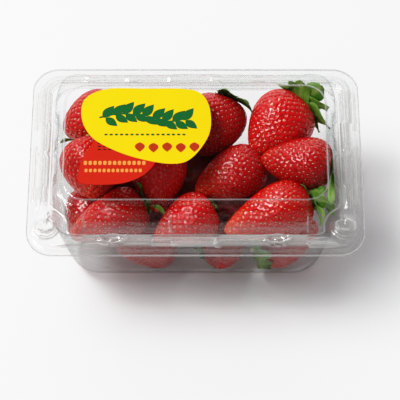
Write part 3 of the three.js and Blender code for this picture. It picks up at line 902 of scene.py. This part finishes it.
def nearest_seed(points, seeds, batch=2000):
    """For each point, the distance to its nearest seed and to the second nearest."""
    pairs = []
    for start in range(0, len(points), batch):
        part = points[start:start + batch]
        square = np.sum(part ** 2, axis=1)[:, None] + np.sum(seeds ** 2, axis=1) - 2 * part @ seeds.T
        pairs.append(np.partition(np.maximum(square, 0.0), 1, axis=1)[:, :2])
    return np.sqrt(np.concatenate(pairs)).T


def round_body(rings, sides, surface):
    """A closed round body: how far down and round each point of its rings lies, the points, those of its
    two poles, and its faces."""
    down = np.repeat(np.linspace(0, math.pi, rings + 2)[1:-1], sides)
    turn = np.tile(np.linspace(0, 2 * math.pi, sides, endpoint=False), rings)
    poles = surface(np.array([1e-4, math.pi - 1e-4]), np.zeros(2))
    return down, turn, surface(down, turn), poles, closed_faces(rings, sides)


def closed_faces(rings, sides):
    """Faces of a closed round body whose first and last points, its poles, come after its rings."""
    faces = ring_faces(rings, sides)
    faces += fan_faces(sides, 0, rings * sides, flip=True)
    faces += fan_faces(sides, (rings - 1) * sides, rings * sides + 1)
    return faces


def between(first, second, share):
    """A tone that runs from the first to the second as the share goes up."""
    return first * (1 - share) + second * share


def fruit_piece(name, points, faces, tones, material):
    """A piece of the fruit, with its own tone at every point."""
    piece = new_piece(name, points, faces, "base")
    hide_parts("strawberries")
    colours = np.column_stack([tones, np.ones(len(tones))]).astype(np.float32)
    piece.data.color_attributes.new("tone", "FLOAT_COLOR", "POINT")
    piece.data.attributes["tone"].data.foreach_set("color", colours.ravel())
    piece.data.materials.append(material)


def toned(tree, share, shade):
    """The tones of a piece's points, multiplied by a shade where the share is low."""
    tone = node(tree, "ShaderNodeAttribute", attribute_name="tone").outputs["Color"]
    return mixed(tree, share, mixed(tree, 1.0, tone, shade, "MULTIPLY"), tone)


berry_flesh, flesh, flesh_shader = new_material("berry_flesh")
feed(flesh_shader, {
    "Base Color": toned(flesh, noise(flesh, 160.0, 4.0), (0.62, 0.5, 0.6, 1.0)),
    "Normal": bumped(flesh, noise(flesh, 1500.0, 3.0), 0.35, 0.0002),
    "Roughness": 0.35,
    "Specular IOR Level": 0.10,
    "Coat Weight": 0.5,
    "Coat IOR": 1.7,
    "Coat Roughness": 0.04,
    "Subsurface Weight": 0.12,
    "Subsurface Radius": (1.0, 0.15, 0.08),
    "Subsurface Scale": 0.0015,
})


def berry_piece(berry):
    """A berry's skin as a closed mesh with a pit round every seed, and its tones, with painted shade in the
    pits and a painted highlight along the ridges.
    """
    rings, sides = (99, 176) if berry.showing else (59, 100)
    down, turn, skin, poles, faces = round_body(rings, sides, berry.skin)
    nearest, second = nearest_seed(skin, berry.skin(berry.seed_down, berry.seed_turn))
    pit = falling(nearest, 0.15, PIT_RADIUS)
    ridge = line(second, nearest, RIDGE_HALF_WIDTH)
    skin = skin - berry.skin_normal(down, turn) * (PIT_DEPTH * pit - RIDGE_HEIGHT * ridge)[:, None]
    points = berry.placed(np.concatenate([skin, poles]))

    # The skin's tone is painted darker in the pits as shade and lighter along the ridges as a highlight.
    blotch = 0.5 + 0.25 * np.sin(2 * turn + berry.lobe_turns[0]) + 0.25 * np.sin(3 * down + turn)
    tone_and_painted_light = np.clip(berry.bright + 0.25 * (blotch - 0.5) + 0.15 * ridge - 0.25 * pit, 0, 1)
    at_tip = berry.orange * rising(down, 1.7, 3.0) * (0.75 + 0.25 * blotch)
    tone = between(between(DEEP_RED, BRIGHT_RED, tone_and_painted_light[:, None]), TIP_ORANGE, at_tip[:, None])
    tones = np.concatenate([tone, tone[:1], tone[-1:]])
    fruit_piece("berry_" + berry.name, points, faces, tones, berry_flesh)


berries = [Berry(*row) for row in BERRIES]
for berry in berries:
    berry_piece(berry)


# ---------------------------------------------------------------- seeds
# The seeds are hard little drops, sunk in their pits with the point towards the berry's tip, from yellow-green
# where a berry ripened in the shade to a reddish straw where it is fully ripe. The straw is pale, partly as a
# painted glint.
SEED_HALF_SIZES = (0.56, 0.32, 0.28)
SEED_SIDES = 5
SEED_SUNK_SHOWING = 0.16
SEED_SUNK_LOWER = 0.40
# This pale straw is partly a painted glint on the seeds.
SEED_STRAW_AND_PAINTED_GLINT = np.array([0.90, 0.50, 0.39])
SEED_YELLOW = np.array([0.85, 0.55, 0.14])
SEED_RUST = np.array([0.42, 0.08, 0.04])


def seed_form(stations):
    """A drop along +X: unit points, and its faces."""
    along = np.array(stations)
    width = np.sqrt(np.clip(1 - along ** 2, 0, 1)) * (1 - 0.28 * along)
    turn = np.linspace(0, 2 * math.pi, SEED_SIDES, endpoint=False)
    points = [(-1.0, 0.0, 0.0)]
    for station, half in zip(along, width):
        points += [(station, half * math.cos(a), half * math.sin(a)) for a in turn]
    points.append((1.0, 0.0, 0.0))
    faces = []
    for j in range(SEED_SIDES):
        k = (j + 1) % SEED_SIDES
        faces.append((0, 1 + k, 1 + j))
        for a in range(1, len(points) - 1 - SEED_SIDES, SEED_SIDES):
            faces.append((a + j, a + k, a + SEED_SIDES + k))
            faces.append((a + j, a + SEED_SIDES + k, a + SEED_SIDES + j))
        last = len(points) - 1 - SEED_SIDES
        faces.append((last + j, last + k, len(points) - 1))
    return np.array(points), np.array(faces)


def seed_piece(name, carriers, stations):
    """All the seeds of several berries as one piece."""
    form, form_faces = seed_form(stations)
    corners = len(form)
    length, width, height = (form * SEED_HALF_SIZES).T[:, None, :, None]
    points, faces, tones, start = [], [], [], 0
    for berry in carriers:
        down, turn = berry.seed_down, berry.seed_turn
        up = berry.skin_normal(down, turn)
        along = berry.skin(down + 1e-3, turn) - berry.skin(down - 1e-3, turn)
        along /= np.linalg.norm(along, axis=1, keepdims=True)
        across = np.cross(up, along)
        size = berry.rng.uniform(0.82, 1.12, len(down))[:, None, None]
        sunk = PIT_DEPTH - (SEED_SUNK_SHOWING if berry.showing else SEED_SUNK_LOWER)
        middle = berry.skin(down, turn) - up * sunk
        drop = length * along[:, None] + width * across[:, None] + height * up[:, None]
        points.append(berry.placed((drop * size + middle[:, None]).reshape(-1, 3)))
        first_corners = start + np.arange(len(down)) * corners
        faces.append((form_faces[None] + first_corners[:, None, None]).reshape(-1, 3))
        start += len(down) * corners
        yellow_share = np.clip(berry.seed_yellow + berry.rng.uniform(-0.3, 0.3, len(down)), 0, 1)[:, None]
        rust_share = (berry.rng.uniform(0, 1, len(down)) < 0.3)[:, None] * 0.7
        tone = between(between(SEED_STRAW_AND_PAINTED_GLINT, SEED_YELLOW, yellow_share), SEED_RUST, rust_share)
        tones.append(np.repeat(tone, corners, axis=0))
    points, faces, tones = np.concatenate(points), np.concatenate(faces), np.concatenate(tones)
    fruit_piece(name, points, faces.tolist(), tones, seed_coat)


seed_coat, coat, coat_shader = new_material("seed_coat")
feed(coat_shader, {
    "Base Color": toned(coat, noise(coat, 900.0, 2.0), (0.75, 0.6, 0.5, 1.0)),
    "Roughness": 0.3,
})

seed_piece("seeds_of_upper_berries", [berry for berry in berries if berry.showing], (-0.5, 0.5))
seed_piece("seeds_of_lower_berries", [berry for berry in berries if not berry.showing], (0.0,))


# ---------------------------------------------------------------- caps of leaves
# Each cap is a ring of pointed, wavy green leaves round the end of the berry, with narrower ones between
# them, and the stub of the stalk that was pinched off at picking.
LEAF_STATIONS = 13
LEAF_SIDES = 7
LEAF_THICKNESS = 0.34
STALK_RADIUS = 1.05
STALK_RINGS = 7
STALK_SIDES = 10
LEAF_DARK = np.array([0.050, 0.130, 0.025])
LEAF_FRESH = np.array([0.190, 0.400, 0.065])
LEAF_PALE = np.array([0.42, 0.58, 0.20])

# The leaves that spread out in sight, for each cap: how fresh their green is, and a row for each leaf with its
# turn round the axis, length, width, how far it stands away from the berry, how it curls (towards the tip if
# less than nothing) and how far it twists. The other leaves of a cap lie tucked against the berry.
OPEN_CAPS = {
    "b": (0.2, [(245, 17, 5, 0.0, -0.4, 0)]),
    "c": (0.9, [(215, 13, 4.5, 0.15, -0.2, 0), (88, 16, 5, 0.7, -0.2, 0)]),
    "e": (0.2, [
        (190, 13, 9, 0.05, -0.2, 0), (160, 17, 10, 0.05, -0.3, 0), (130, 21, 12, 0.05, -0.5, 0),
        (100, 20, 10, 0.0, -0.7, 0),
    ]),
    "f": (0.85, [
        (262, 21, 10, 0.1, -0.1, 0), (236, 21, 10, 0.1, 0.0, 0), (212, 19, 11, 0.15, 0.0, 0),
        (184, 20, 12, 0.2, 0.0, 0), (152, 24, 12, 0.4, -0.2, 0), (122, 22, 12, 0.2, -0.3, 0),
        (92, 24, 12, 0.0, -0.35, 0), (60, 20, 10, 0.0, -0.5, 0),
    ]),
    "g": (1.0, [
        (75, 22, 9, 0.3, -0.1, 1.2), (104, 17, 8, 0.3, 0.0, -0.9), (50, 22, 8, 0.2, 0.0, 1.4),
        (140, 13, 7, 0.3, -0.2, 0.5), (225, 10, 6, 0.1, -0.3, 0), (90, 25, 7, 0.1, -0.2, -1.5),
    ]),
    "i": (0.7, [
        (172, 12, 8, 1.0, -0.5, 0), (132, 18, 10, 0.5, -0.3, 0), (100, 17, 8, 0.2, -0.3, 0),
        (66, 16, 8, 0.1, -0.4, 0), (205, 12, 6, -0.1, -0.6, 0), (84, 19, 9, 0.75, -0.3, 0.8),
    ]),
    "o": (1.0, [
        (225, 20, 13, 0.2, -1.4, 0), (265, 20, 14, 0.2, -1.4, 0), (302, 18, 12, 0.2, -1.2, 0),
        (190, 14, 8, 0.1, -1.2, 0),
    ]),
}
TUCKED_LEAF = (8.5, 6.0, -0.15, -0.9, 0)
TUCKED_GREEN = 0.3
TUCKED_LEAF_ROOM_DEG = 24

# The room that the leaves have inside the plastic: how far its walls stand in from the rim at each height.
LEAF_ROOM_HEIGHTS = (0.5, 10.0, 65.6, 70.0, 83.0, 85.0)
LEAF_ROOM_X = (31.0, 20.8, 15.0, 15.7, 17.0, 18.4)
LEAF_ROOM_Y = (29.2, 18.9, 14.5, 14.4, 15.7, 17.5)
LEAF_ROOM_CORNER = 12.0


def leaf_solid(length, width, lift, curl, twist, phase, wave):
    """A thin closed leaf in its own frame: it grows along +X, its upper face looks along +Z. With it come
    its faces and, for each point, how near it is to the midrib and to the edge."""
    share = np.linspace(0.0, 1.0, LEAF_STATIONS)[:, None]
    side = np.linspace(-1.0, 1.0, LEAF_SIDES)[None, :]
    angle = lift + curl * share ** 1.5
    step = length / (LEAF_STATIONS - 1)
    run = np.concatenate([[[0.0]], np.cumsum(np.cos(angle[:-1]) * step, axis=0)])
    rise = np.concatenate([[[0.0]], np.cumsum(np.sin(angle[:-1]) * step, axis=0)])
    teeth = 1 + 0.16 * np.sin(9.5 * share + phase)
    half = width / 2 * (np.sin(math.pi * share ** 0.75) ** 0.7 * teeth + 0.24 * (1 - share) ** 2)
    half[-1] = 0.12
    ruffle = wave * np.sin(7.0 * share + phase) * side * np.abs(side)
    ruffle = ruffle + wave * 0.5 * np.cos(11.0 * share + 2 * phase) * side ** 2
    fold = 0.16 * half * np.abs(side) - 0.12 * np.cos(3 * math.pi * side) * (np.abs(side) < 0.9)
    across = half * side
    turn_cos, turn_sin = np.cos(twist * share), np.sin(twist * share)
    shells = []
    for shell in (0.5, -0.5):
        thick = LEAF_THICKNESS * shell * (1 - 0.7 * side ** 2) * (1 - 0.5 * share)
        height = ruffle + fold + thick
        upward = across * turn_sin + height * turn_cos
        sideways = across * turn_cos - height * turn_sin
        leaf_shell = np.stack([run - np.sin(angle) * upward, sideways, rise + np.cos(angle) * upward], axis=2)
        shells.append(leaf_shell.reshape(-1, 3))
    midrib = line(side, 0.0, 0.16)
    edge = np.abs(side) ** 3
    shade = np.tile(np.stack([midrib, edge], axis=2).reshape(-1, 2), (2 * LEAF_STATIONS, 1))
    return np.concatenate(shells), slab_faces(LEAF_STATIONS, LEAF_SIDES), shade


def stalk_solid(length, lean):
    """The stalk's stub along +Z, a little swollen at both ends."""
    turn = np.tile(np.linspace(0, 2 * math.pi, STALK_SIDES, endpoint=False), STALK_RINGS)
    share = np.repeat(np.linspace(0, 1, STALK_RINGS), STALK_SIDES)
    radius = STALK_RADIUS * (1.5 - 1.4 * share + 1.1 * share ** 2)
    rings = np.stack([radius * np.cos(turn) + lean * share ** 2, radius * np.sin(turn), length * share], axis=1)
    return np.concatenate([rings, [(0, 0, 0), (lean, 0, length)]]), closed_faces(STALK_RINGS, STALK_SIDES)


def kept_in_room(points):
    """Leaves that meet the plastic lie flat along it."""
    x, y, z = points[:, 0], points[:, 1], points[:, 2]
    half_x = HALF_LENGTH - 0.8 - np.interp(z, LEAF_ROOM_HEIGHTS, LEAF_ROOM_X)
    half_y = HALF_DEPTH - 1.2 - np.interp(z, LEAF_ROOM_HEIGHTS, LEAF_ROOM_Y)
    near_x, near_y = half_x - LEAF_ROOM_CORNER, half_y - LEAF_ROOM_CORNER
    out_x = np.maximum(np.abs(x) - near_x, 0.0)
    out_y = np.maximum(np.abs(y) - near_y, 0.0)
    shrink = np.minimum(1.0, LEAF_ROOM_CORNER / np.maximum(np.hypot(out_x, out_y), 1e-6))
    x = np.sign(x) * (np.minimum(np.abs(x), near_x) + out_x * shrink)
    y = np.sign(y) * (np.minimum(np.abs(y), near_y) + out_y * shrink)
    under_panel = (np.abs(x) < HALF_LENGTH - 22.5) & (np.abs(y) < HALF_DEPTH - 25.5)
    return np.stack([x, y, np.clip(z, 1.5, np.where(under_panel, 87.6, 83.8))], axis=1)


def cap_piece(berry):
    """A berry's cap: its open leaves, tucked ones in the gaps between them, and the stalk."""
    rng = np.random.default_rng(2000 + ord(berry.name))
    points, faces, tones = [], [], []

    def add(part, part_faces, part_tones, root):
        """Turns a part over, so that it grows away from the berry's end, and adds it to the cap."""
        part[:, 2] = -berry.length / 2 + root - part[:, 2]
        start = sum(len(p) for p in points)
        points.append(part)
        faces.extend(tuple(start + i for i in face[::-1]) for face in part_faces)
        tones.append(part_tones)

    freshness, open_leaves = OPEN_CAPS.get(berry.name, (TUCKED_GREEN, []))
    leaves = list(open_leaves)
    for turn in np.arange(0, 360, 360 / (berry.leaves + 3)):
        if all(abs((turn - leaf[0] + 180) % 360 - 180) > TUCKED_LEAF_ROOM_DEG for leaf in leaves):
            leaves.append((turn + rng.uniform(-9, 9),) + TUCKED_LEAF)
    for turn, length, width, away, curl, twist in leaves:
        curl, phase, wave = curl + rng.uniform(-0.1, 0.1), rng.uniform(0, 6.3), rng.uniform(0.6, 1.2)
        leaf, leaf_faces, shade = leaf_solid(length, width, away, curl, twist, phase, wave)
        leaf = (leaf + (0.9, 0.0, rng.uniform(0.0, 0.3))) @ spin(turn).T
        tone = between(LEAF_DARK, LEAF_FRESH, np.clip(freshness + rng.uniform(-0.3, 0.3), 0, 1))
        tone = tone + (LEAF_PALE - tone) * (0.55 * shade[:, :1] + 0.12 * shade[:, 1:])
        add(leaf, leaf_faces, tone, root=1.6)
    stalk_length = rng.uniform(3.0, 6.0) if berry.name in OPEN_CAPS else rng.uniform(1.5, 2.5)
    stalk, stalk_faces = stalk_solid(stalk_length, rng.uniform(-1.5, 1.5))
    add(stalk, stalk_faces, np.tile(LEAF_PALE * 0.9, (len(stalk), 1)), root=1.8)

    all_points = kept_in_room(berry.placed(np.concatenate(points)))
    fruit_piece("cap_" + berry.name, all_points, faces, np.concatenate(tones), leaf_green)


def cells(tree, scale, feature):
    """Random cells that stay fixed to the object: how far it is to a cell's middle or its edge."""
    place = node(tree, "ShaderNodeTexCoord").outputs["Object"]
    pattern = node(tree, "ShaderNodeTexVoronoi", {"Vector": place, "Scale": scale}, feature=feature)
    return pattern.outputs["Distance"]


leaf_green, green, green_shader = new_material("leaf_green")
vein_edge = {"Value": cells(green, 620.0, "DISTANCE_TO_EDGE"), "From Max": 0.18}
between_veins = node(green, "ShaderNodeMapRange", vein_edge).outputs["Result"]
leaf_colour = toned(green, between_veins, (1.5, 1.3, 1.3, 1.0))
feed(green_shader, {
    "Base Color": leaf_colour,
    "Normal": bumped(green, between_veins, 0.4, 0.0003),
    "Roughness": 0.45,
})
leaf_glow = node(green, "ShaderNodeBsdfTranslucent", {"Color": leaf_colour}).outputs["BSDF"]
leaf_surface = overlaid(green, 0.25, green_shader.outputs["BSDF"], leaf_glow)
feed(green.nodes["Material Output"], {"Surface": leaf_surface})

for berry in berries:
    cap_piece(berry)


# ---------------------------------------------------------------- heap core
# The middle of the heap, out of sight behind the berries: one lump, painted dark red as shade, that stands for
# the fruit that can't be seen, and closes the gaps between the berries.
CORE_HALF = (50.0, 21.0, 17.0)
CORE_MIDDLE = (0.0, 0.0, 33.0)
CORE_BOXED = 0.55
# Both colours are dark as painted shade, standing for shaded fruit deep in the heap.
CORE_PAINTED_SHADE_DARK = (0.10, 0.006, 0.004, 1.0)
CORE_PAINTED_SHADE_RED = (0.22, 0.006, 0.008, 1.0)


def core_surface(down, turn):
    """Points of the core: a box with very soft edges and a lumpy skin."""
    cos_down, cos_turn, sin_turn = -np.cos(down), np.cos(turn), np.sin(turn)
    ring = np.sin(down) ** CORE_BOXED
    x = ring * np.sign(cos_turn) * np.abs(cos_turn) ** CORE_BOXED
    y = ring * np.sign(sin_turn) * np.abs(sin_turn) ** CORE_BOXED
    z = np.sign(cos_down) * np.abs(cos_down) ** CORE_BOXED
    lump = 1 + 0.05 * np.sin(9 * x + 2) * np.cos(7 * y + 1) + 0.05 * np.sin(5 * z + 8 * x)
    return np.stack([x * lump, y * lump, z * lump], axis=-1) * CORE_HALF + CORE_MIDDLE


_, _, core_rings, core_poles, core_faces = round_body(39, 72, core_surface)
core_points = np.concatenate([core_rings, core_poles])
heap_core = new_piece("heap_core", core_points, core_faces, "base")
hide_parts("strawberries")

hidden_fruit, hidden, hidden_shader = new_material("hidden_fruit")
hidden_cells = cells(hidden, 300.0, "F1")
feed(hidden_shader, {
    "Base Color": mixed(hidden, hidden_cells, CORE_PAINTED_SHADE_DARK, CORE_PAINTED_SHADE_RED),
    "Normal": bumped(hidden, hidden_cells, 0.6, 0.0006),
    "Roughness": 0.4,
})
heap_core.data.materials.append(hidden_fruit)

bpy.context.view_layer.update()
